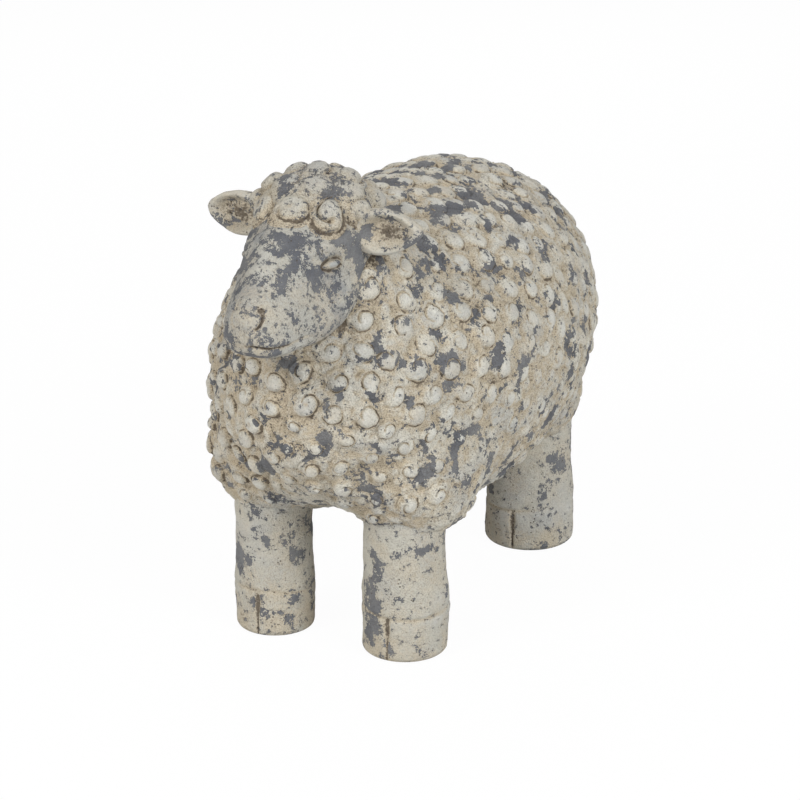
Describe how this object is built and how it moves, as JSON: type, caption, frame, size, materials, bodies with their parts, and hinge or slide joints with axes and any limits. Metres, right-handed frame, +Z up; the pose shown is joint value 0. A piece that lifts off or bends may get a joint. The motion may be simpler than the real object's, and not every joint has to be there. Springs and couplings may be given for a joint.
{
  "type": "sheep figurine",
  "caption": "Standing sheep garden figurine in weathered clay: barrel body covered with pressed-on spiral curls, smooth face and column legs.",
  "frame": {"origin": "on the ground, under the middle of the overall outline", "axes": "+Z up, the sheep looks along -Y, its left side is +X"},
  "size_m": [0.311, 0.5698, 0.4254],
  "materials": {
    "fleece_ground": "rough, stippled, worn cream coat with tan dust over grey clay",
    "smooth_skin": "matt, smoothed, worn cream coat with bare grey patches",
    "eye": "matt, smoothed, brown in the line around it",
    "curl": "matt, rubbed cream knobs with tan in the grooves"
  },
  "bodies": {
    "root": {"body_left_half": "fleece_ground", "body_right_half": "fleece_ground", "neck": "fleece_ground", "left_shoulder": "fleece_ground", "right_shoulder": "fleece_ground", "left_haunch": "fleece_ground", "right_haunch": "fleece_ground", "tail": "fleece_ground", "head": "smooth_skin", "left_ear": "smooth_skin", "right_ear": "smooth_skin", "front_left_leg": "smooth_skin", "front_right_leg": "smooth_skin", "rear_left_leg": "smooth_skin", "rear_right_leg": "smooth_skin", "left_eye": "eye", "right_eye": "eye", "chest_curls": "curl", "neck_curls": "curl", "back_curls": "curl", "left_flank_curls": "curl", "right_flank_curls": "curl", "rump_curls": "curl", "leg_top_curls": "curl", "crown_curls": "curl"}
  },
  "joints": []
}
